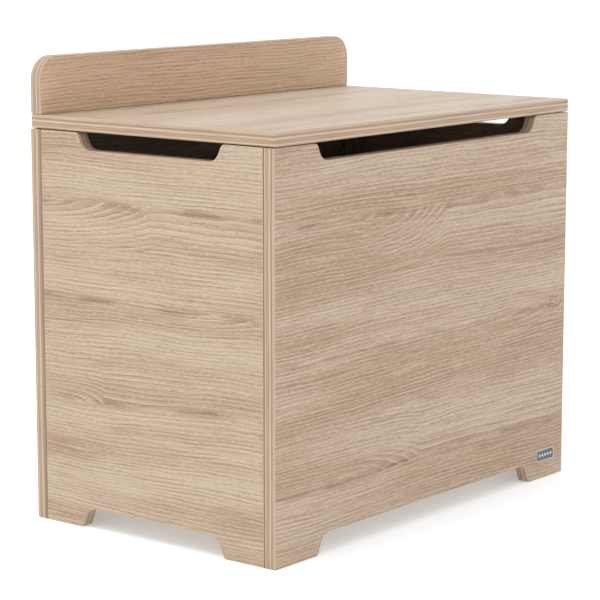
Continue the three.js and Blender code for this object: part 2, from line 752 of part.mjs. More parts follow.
// The rail's two upper corners are round.
function addRail() {
  const top = railBottomZ + railHeight;
  const corner = lidHalfWidth - railCornerRadius;
  const shape = new THREE.Shape();
  shape.moveTo(-lidHalfWidth, railBottomZ);
  shape.lineTo(lidHalfWidth, railBottomZ);
  shape.absarc(corner, top - railCornerRadius, railCornerRadius, 0, Math.PI / 2, false);
  shape.absarc(-corner, top - railCornerRadius, railCornerRadius, Math.PI / 2, Math.PI, false);
  const board = slabAlongY(shape, backY - railThickness, backY, barSegments);
  addPiece(lid, "lid_back_rail", "ashDecor", carve(board, cuts.rail));
}

addFrontAndBack();
addSide("left_side_panel", -1, cuts.left);
addSide("right_side_panel", 1, cuts.right);
addBase();
addLidBoard();
addRail();

// ---------------------------------------------------------------- pads and badge

function addPad(label, side) {
  const thickness = lidGap - 2 * padPlay;
  const pad = addPiece(carcass, "lid_pad_" + label, "pad",
    new THREE.CylinderGeometry(padRadius, padRadius, thickness, holeSides));
  pad.rotation.x = Math.PI / 2;
  pad.position.set(side * (halfWidth - padInset), frontY + boardThickness / 2,
    bodyHeight + lidGap / 2);
}

addPad("left", -1);
addPad("right", 1);

// The plate is glued to the front of the right foot.
function addBadge() {
  const right = halfWidth - badgeSideMargin;
  const shape = roundedRectangle(
    new THREE.Vector2(right - badgeWidth, badgeFloorMargin),
    new THREE.Vector2(right, badgeFloorMargin + badgeHeight),
    badgeCorner,
  );
  const back = frontY - badgeGlue;
  addPiece(carcass, "badge_plate", "badge",
    slabAlongY(shape, back - badgeThickness, back, outlineSegments));
}

addBadge();

export default toyBox;
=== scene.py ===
"""Looks of a wooden toy box with a hinged lid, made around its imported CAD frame, in metres.

Every board is a profile carried round an outline, every turned piece is a profile spun about
an axis, and all of their points are worked out as whole arrays. Wood, edge bands and metals
are procedural. +X runs to the right along the front, +Y to the back and +Z up.
"""

import math

import bpy
import numpy as np
from bpy.props import FloatProperty, FloatVectorProperty, IntProperty, PointerProperty
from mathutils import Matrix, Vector
from mathutils.geometry import tessellate_polygon


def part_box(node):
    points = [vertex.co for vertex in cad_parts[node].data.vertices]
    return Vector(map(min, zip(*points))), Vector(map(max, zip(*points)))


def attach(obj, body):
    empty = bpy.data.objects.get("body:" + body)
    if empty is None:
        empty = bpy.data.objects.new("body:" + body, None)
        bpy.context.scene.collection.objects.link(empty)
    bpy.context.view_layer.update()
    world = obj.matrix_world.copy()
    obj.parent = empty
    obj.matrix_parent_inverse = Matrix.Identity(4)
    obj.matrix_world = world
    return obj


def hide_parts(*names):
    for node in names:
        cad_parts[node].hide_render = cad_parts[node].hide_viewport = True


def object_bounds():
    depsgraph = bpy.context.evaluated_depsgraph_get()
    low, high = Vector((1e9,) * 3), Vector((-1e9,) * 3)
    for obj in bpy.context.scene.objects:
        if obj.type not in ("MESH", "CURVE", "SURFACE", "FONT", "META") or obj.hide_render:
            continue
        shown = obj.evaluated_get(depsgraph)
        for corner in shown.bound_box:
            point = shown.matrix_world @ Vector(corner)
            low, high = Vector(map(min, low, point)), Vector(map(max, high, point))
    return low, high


bl_info = {
    "name": "Wooden Toy Box",
    "version": (1, 0, 0),
    "blender": (4, 5, 0),
    "location": "3D View > Sidebar > Toy Box",
    "description": "Builds the visible pieces of a wooden toy box around its CAD frame",
    "category": "Object",
}

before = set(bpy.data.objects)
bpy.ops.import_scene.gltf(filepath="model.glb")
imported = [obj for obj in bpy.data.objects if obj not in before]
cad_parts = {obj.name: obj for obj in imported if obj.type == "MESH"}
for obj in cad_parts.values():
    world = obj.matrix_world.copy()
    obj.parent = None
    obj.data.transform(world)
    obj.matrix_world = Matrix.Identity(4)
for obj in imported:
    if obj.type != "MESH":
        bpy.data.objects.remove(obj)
cad_box = [list(corner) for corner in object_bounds()]

MM = 0.001
FULL_TURN = 2 * math.pi
CRISP = math.radians(38)  # edges that turn by more than this aren't shaded smooth
SLIVER = 1e-14            # square metres, twice the area under which a filling face is dropped
SCREW_NECK = 0.5          # shank radius as a share of a countersunk head's radius
SCREW_CONE = 0.64         # height of the head's cone as a share of its radius
HEAD_ROOM = 1.1           # opening of a plate's countersunk hole as a share of the head's radius
HOLE_NECK = 0.55          # narrow part of that hole as a share of its opening
ROUND_END = 0.999         # corner radius of a round end as a share of half its width
DECOR, BAND, CORE = 0, 1, 2  # a board's material slots: faces, edges, and the cut core
BAND_WIDTH = 16.0         # millimetres across an edge band

X_AXIS, Y_AXIS, Z_AXIS = np.eye(3)
FRONT_PLANE = (X_AXIS, Z_AXIS, -Y_AXIS)  # outline to the right and up, thickness to the front
SIDE_PLANE = (Y_AXIS, Z_AXIS, X_AXIS)    # outline to the back and up, thickness to the right


def size(name, description, default, **more):
    """A length property, in metres."""
    return FloatProperty(
        name=name, description=description, default=default, min=0.0,
        subtype="DISTANCE", unit="LENGTH", precision=4, **more,
    )


def tint(name, description, default):
    """A colour property, in linear light."""
    return FloatVectorProperty(
        name=name, description=description, default=default, size=3,
        subtype="COLOR", min=0.0, max=1.0,
    )


def linear(red, green, blue):
    """A colour given as display values from 0 to 255, in linear light."""
    shown = np.array((red, green, blue)) / 255
    return tuple(np.where(shown <= 0.04045, shown / 12.92, ((shown + 0.055) / 1.055) ** 2.4))


# ---------------------------------------------------------------- settings


class BoardSettings(bpy.types.PropertyGroup):
    """Shape details of the boards that their boxes in the frame don't give."""

    arris: size("Arris", "Radius of the rounded edge between a face and an edge band", 0.6 * MM)
    corner: size("Board Corner", "Radius of a board's square corners", 1.0 * MM)
    slot_inset: size("Slot Inset", "From the box's corner to the hand slot's lip", 72 * MM)
    slot_depth: size("Slot Depth", "How far a hand slot dips below the top edge", 20.5 * MM)
    slot_lip: size("Slot Lip", "Radius of the slot's upper corners", 7 * MM)
    slot_fillet: size("Slot Fillet", "Radius of the slot's lower corners", 16 * MM)
    front_foot: size("Front Foot", "Length of a foot along the front", 75 * MM)
    side_foot: size("Side Foot", "Length of a foot along the side", 72 * MM)
    foot_height: size("Foot Height", "Height of the opening between the feet", 24.7 * MM)
    foot_toe: size("Foot Toe", "Radius of the foot's lower corner", 5 * MM)
    foot_fillet: size("Foot Fillet", "Radius of the opening's upper corners", 16 * MM)
    flank: FloatProperty(
        name="Flank Angle", description="Slope of the flanks of slots and feet",
        default=math.radians(67), subtype="ANGLE", unit="ROTATION",
    )
    rail_corner: size("Rail Corner", "Radius of the rail's upper corners", 28 * MM)
    fit: size("Fit Gap", "Free space round a fitting in its hole", 0.3 * MM)
    arc_points: IntProperty(
        name="Arc Points", description="Points on each rounded corner", default=11, min=3, max=64,
    )


class WoodSettings(bpy.types.PropertyGroup):
    """Colours and scale of the ash decor and its edge bands."""

    pale: tint("Pale Wood", "Palest ground of the decor", linear(190, 169, 146))
    warm: tint("Warm Wood", "Darker and warmer ground of the decor", linear(168, 139, 113))
    deep: tint("Late Wood", "Thin dark line at the end of a growth ring", linear(121, 89, 62))
    # also the colour of the painted highlight along the edge bands' arrises
    bright: tint("Early Wood", "Thin bright line at the start of a growth ring", linear(211, 194, 174))
    ring: size("Ring Width", "Mean distance between growth rings", 4.6 * MM)
    # also colours the dark line where boards butt, which is partly painted shadow in the joint
    seam: tint("Band Seam", "Glue line between a face and its edge band", linear(108, 78, 56))
    core: tint("Chipboard", "Cut chipboard inside the holes", linear(176, 146, 112))
    base: tint("Base Board", "Pale film on the base board", linear(198, 184, 166))


class MetalSettings(bpy.types.PropertyGroup):
    """Colours of the fittings."""

    zinc: tint("Zinc", "Zinc-plated fittings", (0.60, 0.605, 0.62))
    steel: tint("Bright Steel", "Hinge leaves, pins and rivets", (0.44, 0.44, 0.45))
    badge: tint("Badge", "Ground of the blank badge", (0.15, 0.15, 0.165))
    badge_mark: tint("Badge Marks", "Rim and studs of the blank badge", (0.62, 0.62, 0.63))
    pad: tint("Soft Pad", "Clear rubber pads", (0.66, 0.66, 0.63))


class StageSettings(bpy.types.PropertyGroup):
    """Camera, floor and light."""

    camera: FloatVectorProperty(
        name="Camera", description="Where the camera stands", size=3,
        default=(-2.2396, -1.7821, 0.7357), subtype="XYZ", unit="LENGTH",
    )
    heading: FloatProperty(
        name="Heading", description="Camera's heading from +Y towards +X",
        default=math.radians(51.274), subtype="ANGLE", unit="ROTATION",
    )
    pitch: FloatProperty(
        name="Pitch", description="How far the camera looks down",
        default=math.radians(9.626), subtype="ANGLE", unit="ROTATION",
    )
    lens: FloatProperty(name="Lens", description="Focal length in millimetres", default=138.01)
    floor: tint("Floor", "Pale studio floor", (0.90, 0.93, 0.96))
    glow: FloatProperty(
        name="Floor Glow", description="Light that the lit floor sweep gives off", default=0.27,
    )
    sky: FloatProperty(name="Surround", description="Strength of the white surround", default=1.0)
    key: FloatProperty(name="Key Lamp", description="Power of the key lamp, in watts", default=46.0)


# ---------------------------------------------------------------- outlines and surfaces


def rod(radius, length, soft):
    """Profile of a round rod whose two rims are cut back a little."""
    return [(0, 0), (radius - soft, 0), (radius, soft), (radius, length - soft),
            (radius - soft, length), (0, length)]


def rounded(corners, points):
    """Closed outline with rounded corners, listed anticlockwise, each as (x, y, radius).

    A corner's arc touches both of its sides at radius * tan(turn / 2) from the corner, round
    a centre that lies one radius inside a left turn or outside a right turn. Returns the
    points and their outward normals, which are the arcs' radii, turned over on right turns.
    """
    spec = np.array(corners, float)
    place, radius = spec[:, :2], spec[:, 2]
    leaving = np.roll(place, -1, axis=0) - place
    leaving /= np.linalg.norm(leaving, axis=1)[:, None]
    arriving = np.roll(leaving, 1, axis=0)
    cross = arriving[:, 0] * leaving[:, 1] - arriving[:, 1] * leaving[:, 0]
    turn = np.arctan2(cross, (arriving * leaving).sum(axis=1))
    side = np.sign(turn)
    start = place - arriving * (radius * np.tan(np.abs(turn) / 2))[:, None]
    outward = np.stack([arriving[:, 1], -arriving[:, 0]], axis=1)
    centre = start - outward * (side * radius)[:, None]
    first = np.arctan2(outward[:, 1], outward[:, 0])
    angle = first[:, None] + turn[:, None] * np.linspace(0, 1, points)[None, :]
    normal = np.stack([np.cos(angle), np.sin(angle)], axis=2)
    path = centre[:, None, :] + normal * (side * radius)[:, None, None]
    return path.reshape(-1, 2), normal.reshape(-1, 2)


def ring(x, y, radius, points=32):
    """Round hole's outline: a circle run clockwise, whose normals point at its centre."""
    angle = -np.arange(points) * FULL_TURN / points
    spoke = np.stack([np.cos(angle), np.sin(angle)], axis=1)
    return np.array([x, y]) + spoke * radius, -spoke


def oblong(low, high, radius):
    """Corners of an upright rectangle between two points, all with one radius."""
    return [(low[0], low[1], radius), (high[0], low[1], radius),
            (high[0], high[1], radius), (low[0], high[1], radius)]


def bar_corners(start, end, width):
    """Corners of a bar with round ends that runs from one pivot past the other."""
    start, end = np.array(start), np.array(end)
    along = (end - start) / np.linalg.norm(end - start)
    side = np.array([-along[1], along[0]]) * width / 2
    reach = along * width / 2
    places = [start - reach - side, end + reach - side, end + reach + side, start - reach + side]
    return [(*place, width / 2 * ROUND_END) for place in places]


def edge_profile(thickness, arris, steps=4):
    """Edge of a plate as (inset, height): face, quarter circle, flat edge, quarter circle, face.

    A narrow flat strip of a third of the arris follows each arc, to keep the shading of the
    flats clear of the arcs.
    """
    angle = np.linspace(0, math.pi / 2, steps + 1)
    arc = np.stack([arris * (1 - np.sin(angle)), arris * (1 - np.cos(angle))], axis=1)
    strip = arris / 3
    half = np.concatenate([[[arris + strip, 0]], arc, [[0, arris + strip]]])
    return np.concatenate([half, (half * [1, -1] + [0, thickness])[::-1]])


class Mesh:
    """Arrays of points, faces, texture places and material slots gathered for one piece."""

    def __init__(self):
        self.points, self.faces, self.places, self.slots = [], [], [], []
        self.count = 0

    def add(self, points, faces, places, slot=0):
        """Takes a block of points, and faces that number them, with one place per face corner."""
        self.points.append(points)
        self.faces += (np.asarray(faces) + self.count).tolist()
        self.places.append(np.asarray(places, float).reshape(-1, 2))
        self.slots += [slot] * len(faces)
        self.count += len(points)

    def build(self, name, materials, body=None, node=None, slot=None):
        """Makes the object, hides the node it stands for and lets it ride on a body."""
        data = bpy.data.meshes.new(name)
        data.from_pydata(np.concatenate(self.points).tolist(), [], self.faces)
        layer = data.uv_layers.new(name="surface")
        layer.data.foreach_set("uv", np.concatenate(self.places).astype(np.float32).ravel())
        data.polygons.foreach_set("material_index", self.slots)
        data.update()
        data.shade_smooth()
        data.set_sharp_from_angle(angle=CRISP)
        if data.validate():
            raise RuntimeError(f"{name}: its mesh held faces that can't be")
        for material in materials:
            data.materials.append(material)
        piece = bpy.data.objects.new(name, data)
        bpy.context.scene.collection.objects.link(piece)
        if body:
            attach(piece, body)
            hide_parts(node)
        return piece


def grid_faces(rows, columns):
    """Corners of the squares between neighbouring rows, where each row closes on itself."""
    row, column = np.meshgrid(np.arange(rows - 1), np.arange(columns), indexing="ij")
    after = (column + 1) % columns
    corners = [row * columns + column, row * columns + after,
               (row + 1) * columns + after, (row + 1) * columns + column]
    return np.stack(corners, axis=2).reshape(-1, 4)


def plate(mesh, outlines, axes, origin, rim=BAND, face=DECOR):
    """Flat piece: point = origin + (path - inset * normal) in the first two axes + height * third.

    outlines lists (path, normals, profile), the outer one first and its holes after it. The
    profile runs from the face at height 0 to the face at full height, and the two faces fill
    its first and last rings. Texture places on the rim are (length along the path, distance
    along the profile), and on the faces the two plane coordinates.
    """
    axes = np.array(axes, float)
    ends = ([], [])
    for path, normal, profile in outlines:
        columns, rows = len(path), len(profile)
        flat = path[None] - profile[:, None, :1] * normal[None]
        height = np.broadcast_to(profile[:, None, 1:], (rows, columns, 1))
        local = np.concatenate([flat, height], axis=2).reshape(-1, 3)
        step = np.linalg.norm(np.roll(path, -1, axis=0) - path, axis=1)
        run = np.concatenate([[0], np.cumsum(step)])
        climb = np.concatenate([[0], np.cumsum(np.linalg.norm(np.diff(profile, axis=0), axis=1))])
        row, column = np.meshgrid(np.arange(rows - 1), np.arange(columns), indexing="ij")
        across, up = column[..., None] + [0, 1, 1, 0], row[..., None] + [0, 0, 1, 1]
        places = np.stack([run[across], climb[up]], axis=3)
        ends[0].append((local[:columns], mesh.count))
        ends[1].append((local[-columns:], mesh.count + (rows - 1) * columns))
        mesh.add(np.asarray(origin) + local @ axes, grid_faces(rows, columns), places, rim)
    for end, upward in ((ends[0], False), (ends[1], True)):
        flat = np.concatenate([points for points, first in end])
        index = np.concatenate([first + np.arange(len(points)) for points, first in end])
        fill = np.array(tessellate_polygon(
            [[Vector(point) for point in points[:, :2].tolist()] for points, first in end]))
        a, b, c = flat[fill[:, 0], :2], flat[fill[:, 1], :2], flat[fill[:, 2], :2]
        area = (b - a)[:, 0] * (c - a)[:, 1] - (b - a)[:, 1] * (c - a)[:, 0]
        kept = np.abs(area) > SLIVER
        fill, area = fill[kept], area[kept]
        wrong = (area > 0) != upward
        fill[wrong] = fill[wrong][:, ::-1]
        mesh.faces += index[fill].tolist()
        mesh.places.append(flat[fill][:, :, :2].reshape(-1, 2))
        mesh.slots += [face] * len(fill)


def spin(mesh, profile, axis, across, origin, points=40, slot=0):
    """Turned piece: point = origin + height * axis + radius * (cos t, sin t) across the axis.

    profile lists (radius, height) from the bottom to the top, and starts and ends on the
    axis, where each end closes in a fan.
    """
    profile = np.array(profile, float)
    axis, across = np.array(axis, float), np.array(across, float)
    third = np.cross(axis, across)
    angle = np.arange(points) * FULL_TURN / points
    spoke = np.cos(angle)[:, None] * across + np.sin(angle)[:, None] * third
    body = profile[1:-1]
    rows = len(body)
    wall = body[:, None, :1] * spoke[None] + body[:, None, 1:] * axis
    tips = profile[[0, -1], 1][:, None] * axis
    places = np.concatenate([wall.reshape(-1, 3), tips]) + np.asarray(origin)
    squares = grid_faces(rows, points)
    turn, climb = np.arange(points), np.linspace(0, 1, rows)
    texture = np.stack([squares % points / points, climb[squares // points]], axis=2)
    after = (turn + 1) % points
    low, high = rows * points, rows * points + 1
    last = (rows - 1) * points
    fans = np.concatenate([
        np.stack([np.full(points, low), after, turn], axis=1),
        np.stack([np.full(points, high), last + turn, last + after], axis=1),
    ])
    first = mesh.count
    mesh.add(places, squares, texture, slot)
    mesh.faces += (fans + first).tolist()
    mesh.places.append(np.tile([[0.5, 0.5]], (fans.size, 1)))
    mesh.slots += [slot] * len(fans)


def flat_piece(name, finishes, body, node, slot, outlines, axes, origin, rim=BAND, face=DECOR):
    """A piece made of one plate."""
    mesh = Mesh()
    plate(mesh, outlines, axes, origin, rim, face)
    return mesh.build(name, finishes, body, node, slot)


def turned_piece(name, finish, body, node, slot, profile, axis, across, origin):
    """A piece made of one spun profile."""
    mesh = Mesh()
    spin(mesh, profile, axis, across, origin)
    mesh.build(name, [finish], body, node, slot)


def combine(piece, gathered, operation):
    """Cuts a gathered closed tool out of a piece, or joins it on. The piece stays a plain mesh."""
    tool = gathered.build("tool", [])
    cut = piece.modifiers.new("cut", "BOOLEAN")
    cut.operation, cut.solver, cut.object = operation, "EXACT", tool
    bpy.context.view_layer.update()
    solved = piece.evaluated_get(bpy.context.evaluated_depsgraph_get())
    data = bpy.data.meshes.new_from_object(solved)
    piece.modifiers.remove(cut)
    old, piece.data = piece.data, data
    data.name = piece.name
    bpy.data.meshes.remove(old)
    bpy.data.meshes.remove(tool.data)
    data.set_sharp_from_angle(angle=CRISP)
    if len(data.materials) == 1:
        data.polygons.foreach_set("material_index", [0] * len(data.polygons))


def drill(mesh, start, axis, radius, depth, points=24):
    """Round cutting tool from a point along an axis."""
    across = X_AXIS if abs(axis[0]) < 0.5 else Z_AXIS
    spin(mesh, [(0, 0), (radius, 0), (radius, depth), (0, depth)], axis, across, start,
         points, CORE)


def node_box(name):
    """Lowest and highest corner of a CAD node, as arrays."""
    low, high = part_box(name)
    return np.array(low), np.array(high)


def node_middle(name):
    """Middle of a CAD node's box."""
    return sum(node_box(name)) / 2


def nodes_like(*starts):
    """CAD nodes whose names start so, in order."""
    return [name for name in sorted(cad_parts) if name.startswith(starts)]


# ---------------------------------------------------------------- shader maths


def math_node(operation):
    """A method that adds one Math node."""
    return lambda self, *others: self.math(operation, *others)


class Value:
    """A number on a socket. Python's arithmetic on it adds the Math nodes."""

    def __init__(self, shade, socket):
        self.shade, self.socket = shade, socket

    def math(self, operation, *others):
        inputs = dict(enumerate((self, *others)))
        node = self.shade.node("ShaderNodeMath", {"operation": operation}, inputs)
        return Value(self.shade, node.outputs[0])

    __add__ = __radd__ = math_node("ADD")
    __mul__ = __rmul__ = math_node("MULTIPLY")
    __sub__ = math_node("SUBTRACT")
    __truediv__ = math_node("DIVIDE")
    __pow__ = math_node("POWER")
    __abs__ = math_node("ABSOLUTE")
    root = math_node("SQRT")
    part = math_node("FRACT")
    least = math_node("MINIMUM")
    most = math_node("MAXIMUM")

    def __neg__(self):
        return self * -1.0

    def __rsub__(self, other):
        return -self + other

    def ramp(self, start, end, low=0.0, high=1.0):
        """Smooth step: low up to start, high from end on."""
        node = self.shade.node(
            "ShaderNodeMapRange", {"interpolation_type": "SMOOTHSTEP"},
            {"Value": self, "From Min": start, "From Max": end, "To Min": low, "To Max": high})
        return Value(self.shade, node.outputs["Result"])


class Shade:
    """A material and its nodes."""

    def __init__(self, name, **constants):
        self.material = bpy.data.materials.new(name)
        self.material.use_nodes = True
        self.tree = self.material.node_tree
        self.skin = self.tree.nodes["Principled BSDF"]
        for socket, value in constants.items():
            label = socket.replace("_", " ").title().replace("Ior", "IOR")
            self.skin.inputs[label].default_value = value

    def node(self, kind, settings=None, inputs=None):
        """Adds a node, sets it up, then gives its sockets their values or links."""
        node = self.tree.nodes.new(kind)
        for name, value in (settings or {}).items():
            if name == "stops":
                ramp = node.color_ramp
                while len(ramp.elements) < len(value):
                    ramp.elements.new(0.5)
                for element, (place, colour) in zip(ramp.elements, value):
                    element.position, element.color = place, (*colour, 1)
            else:
                setattr(node, name, value)
        for name, value in (inputs or {}).items():
            socket = node.inputs[name]
            if isinstance(value, Value):
                self.tree.links.new(value.socket, socket)
            elif isinstance(value, bpy.types.NodeSocket):
                self.tree.links.new(value, socket)
            elif socket.type == "RGBA":
                socket.default_value = (*tuple(value)[:3], 1)
            else:
                socket.default_value = value
        return node

    def places(self, kind="Object"):
        """The three coordinates in millimetres, as values."""
        source = self.node("ShaderNodeTexCoord").outputs[kind]
        parts = self.node("ShaderNodeSeparateXYZ", None, {"Vector": source}).outputs
        return [Value(self, part) * 1000.0 for part in parts]

    def noise(self, x, y, z=0.0, detail=2.0, roughness=0.5):
        """Smooth noise at a place, about from -0.5 to 0.5."""
        place = self.node("ShaderNodeCombineXYZ", None, {"X": x, "Y": y, "Z": z}).outputs[0]
        node = self.node("ShaderNodeTexNoise", {"noise_dimensions": "3D"}, {
            "Vector": place, "Scale": 1.0, "Detail": detail, "Roughness": roughness})
        return Value(self, node.outputs["Fac"]) - 0.5

    def spots(self, sizes, detail=2.0, roughness=0.5):
        """Smooth noise over the piece, whose spots have a size in millimetres on each axis."""
        places = [place / spot for place, spot in zip(self.places(), sizes)]
        return self.noise(*places, detail=detail, roughness=roughness)

    def blend(self, share, first, second, mode="MIX"):
        """Colour mixed from two by a share."""
        node = self.node("ShaderNodeMix", {"data_type": "RGBA", "blend_type": mode},
                         {"Factor": share, 6: first, 7: second})
        return node.outputs[2]

    def layers(self, colour, *layers):
        """Colour with each (share, cover) laid over it in turn."""
        for share, cover in layers:
            colour = self.blend(share, colour, cover)
        return colour

    def finish(self, colour=None, roughness=None, height=None, depth=0.0002, strength=1.0):
        """Feeds the skin and returns the material."""
        if colour is not None:
            self.tree.links.new(colour, self.skin.inputs["Base Color"])
        if roughness is not None:
            self.tree.links.new(roughness.socket, self.skin.inputs["Roughness"])
        if height is not None:
            bump = self.node("ShaderNodeBump", None, {
                "Height": height, "Distance": depth, "Strength": strength})
            self.tree.links.new(bump.outputs["Normal"], self.skin.inputs["Normal"])
        return self.material


# ---------------------------------------------------------------- materials


def wood_settings():
    return bpy.context.scene.toy_box_wood


def metal_settings():
    return bpy.context.scene.toy_box_metal


def ash_decor(name, along, across, seed, flames, warmth=0.0, blush=None, knot=None):
    """Printed ash on a board's faces, drawn as growth rings that run along the grain.

    Each flame is (start, end, line, side, depth) in millimetres. On its own side of its line
    a ring's distance is 0.7 * sqrt(off^2 + (depth * share^1.5)^2) + 0.3 * |off|, where off is the
    distance from the line and share goes from 0 to 1 between start and end, so that rings nest
    there and meet the line at an angle. On the other side the distance is plain |off|. The
    nearest flame gives the ring. A knot is (place along, place across, reach): within its reach
    the rings turn into rings round its middle, which is speckled.
    Slow noise sways the lines, and fine noise along them makes pores. warmth shifts the ground
    towards the warmer wood, and a multiplying colour scales the whole colour: on the rail a brighter,
    more orange tint, on the lid a painted sheen that makes its faces paler and less saturated.
    """
    wood = wood_settings()
    shade = Shade(name, ior=1.45, specular_ior_level=0.4)
    place = shade.places()
    u, v = place[along], place[across]
    sway = shade.noise(u / 420.0, v / 170.0, seed, detail=1.0)
    ripple = shade.noise(u / 95.0, v / 38.0, seed + 3.1, detail=1.5)
    shiver = shade.noise(u / 24.0, v / 9.0, seed + 5.3, detail=1.0)
    bent = v + sway * 30.0 + ripple * 5.5 + shiver * 0.7
    wander = shade.noise(u / 70.0, v / 60.0, seed + 7.7, detail=1.0) * 4.0
    nearest, crease = None, None
    for start, end, line, side, depth in flames:
        off = bent - line
        share = (u - start) / (end - start)
        reach = share.most(0.0).least(1.0) ** 1.5 * depth + wander
        nested = (off * off + reach * reach).root() * 0.7 + abs(off) * 0.3
        own = (off * side).math("GREATER_THAN", 0.0)
        field = nested * own + abs(off) * (1.0 - own)
        nearest = field if nearest is None else nearest.least(field)
        edge = 1.0 - abs(off - side * 2.0).ramp(0.5, 7.0)
        crease = edge if crease is None else crease.most(edge)
    if knot:
        knot_along, knot_across, knot_reach = knot
        from_knot = (((u - knot_along) * 0.6) ** 2.0 + (bent - knot_across) ** 2.0 + 0.01).root()
        knotty = 1.0 - from_knot.ramp(knot_reach * 0.35, knot_reach)
        nearest = nearest * (1.0 - knotty) + from_knot * 1.6 * knotty
    uneven = shade.noise(nearest / 13.0, seed, u / 700.0, detail=1.0)
    pitch = wood.ring * 1000.0
    rings = (nearest + uneven * 5.0) / pitch
    inside = rings.part()
    strength = shade.noise(u / 130.0, bent / 9.0, seed + 11.0, detail=2.0).ramp(-0.2, 0.2, 0.25, 1.0)
    late = inside.ramp(0.30, 0.96) * (1.0 - inside.ramp(0.96, 1.0)) * strength
    early = inside.ramp(0.0, 0.05) * (1.0 - inside.ramp(0.10, 0.30)) * strength

    tone = shade.noise(u / 520.0, bent / 50.0, seed + 17.0, detail=2.0, roughness=0.55)
    band = shade.noise(nearest / 34.0, u / 900.0, seed + 23.0, detail=1.0)
    fibre = shade.noise(u / 11.0, bent / 0.9, seed + 29.0, detail=2.0, roughness=0.6)
    fleck = shade.noise(u / 7.0, bent / 1.2, seed + 31.0, detail=1.0)
    hair = shade.noise(u / 54.0, bent / 0.95, seed + 53.0, detail=2.0, roughness=0.65)
    streak = shade.noise(u / 85.0, bent / 2.3, seed + 37.0, detail=2.0, roughness=0.6)
    broken = shade.noise(u / 60.0, bent / 14.0, seed + 41.0, detail=2.0).ramp(-0.12, 0.16)
    warmer = (tone * 2.1 + band * 1.3 + (0.46 + warmth)).ramp(0.0, 1.0)

    colour = shade.layers(
        shade.blend(warmer, wood.pale, wood.warm),
        (crease * broken * 0.66, wood.deep),
        (late * 0.48, wood.deep),
        (streak.ramp(0.02, 0.28) * 0.42, wood.deep),
        ((-streak).ramp(0.02, 0.30) * 0.34, wood.bright),
        (hair.ramp(0.04, 0.22) * 0.42, wood.bright),
        ((-hair).ramp(0.05, 0.22) * 0.42, wood.deep),
        (early * 0.50, wood.bright),
        (fibre.ramp(0.04, 0.24) * 0.40, wood.deep),
        (fleck.ramp(0.05, 0.22) * 0.32, wood.bright),
        ((-fleck).ramp(0.08, 0.24) * 0.28, wood.deep),
    )
    if knot:
        speckle = shade.noise(u / 2.6, v / 2.6, seed + 61.0, detail=2.0)
        colour = shade.layers(
            colour,
            (knotty * speckle.ramp(-0.08, 0.14) * 0.8, wood.deep),
            (knotty * (-speckle).ramp(0.04, 0.22) * 0.6, wood.bright),
        )
    # multiplies the whole colour: a brighter, more orange tint on the rail, and a painted sheen that
    # makes the lid's faces paler and less saturated
    if blush:
        colour = shade.blend(1.0, colour, blush, "MULTIPLY")
    rough = fibre * 0.16 + 0.46
    relief = early * 0.3 - late * 0.3 + fibre * 0.5 + streak * 0.3
    return shade.finish(colour, rough, relief, depth=0.00005, strength=0.35)


def edge_band(name, seed, joint=None):
    """Edge band: streaks that follow the edge, drawn across the band's width.

    Both arrises carry a pale line, a painted highlight. joint is 0 or 1 for a dark line at the band's
    first or last side,
    where the board butts another: partly the seam's own colour and partly painted shadow in the joint.
    """
    wood = wood_settings()
    shade = Shade(name, ior=1.45, specular_ior_level=0.4)
    u, v, _ = shade.places("UV")
    drift = shade.noise(u / 260.0, seed, 0.0, detail=1.0) * 2.0
    fine = shade.noise(u / 60.0, v / 0.9, seed + 2.0, detail=2.0)
    across = (v + drift * ((v * (BAND_WIDTH - v)) / 64.0)) / BAND_WIDTH
    pale, warm, deep, bright = (tuple(c) for c in (wood.pale, wood.warm, wood.deep, wood.bright))
    streaks = shade.node("ShaderNodeValToRGB", {"stops": [
        (0.000, warm), (0.100, warm), (0.165, bright), (0.215, bright), (0.245, warm),
        (0.300, deep), (0.345, warm), (0.420, warm), (0.470, deep), (0.515, warm),
        (0.575, bright), (0.640, bright), (0.690, warm), (0.745, deep), (0.800, deep),
        (0.860, pale), (0.930, bright), (1.000, warm)]}, {"Fac": across})
    even = tuple(((np.array(pale) + warm) / 2).tolist())
    half = BAND_WIDTH / 2
    side = abs(v - half)
    seam = side.ramp(half - 1.9, half - 1.4)
    # arris masks a pale line along both arrises of the band: a painted highlight
    arris = side.ramp(half - 1.0, half - 0.6)
    colour = shade.layers(
        shade.blend(0.52, streaks.outputs["Color"], even),
        (fine.ramp(0.02, 0.26) * 0.45, wood.deep),
        ((-fine).ramp(0.04, 0.28) * 0.40, wood.bright),
        ((seam - arris) * 0.25, wood.seam),
        # painted highlight along both arrises
        (arris * 0.3, wood.bright),
    )
    if joint is not None:
        # dark line where the board butts another: partly the seam's colour, partly painted shadow in
        # the joint gap
        gap = 1.0 - abs(v - joint * BAND_WIDTH).ramp(1.9, 2.7)
        colour = shade.blend(gap * 0.62, colour, wood.seam)
    return shade.finish(colour, fine * 0.14 + 0.5, fine, depth=0.0001, strength=0.4)


def chipboard(name):
    """Cut chipboard: pressed flakes of several sizes."""
    wood = wood_settings()
    shade = Shade(name, roughness=0.85)
    flake = shade.spots((1.6, 1.6, 1.1), 3.0, 0.7)
    colour = shade.blend(flake.ramp(-0.15, 0.2), wood.core, wood.deep)
    return shade.finish(colour, None, flake, depth=0.0003)


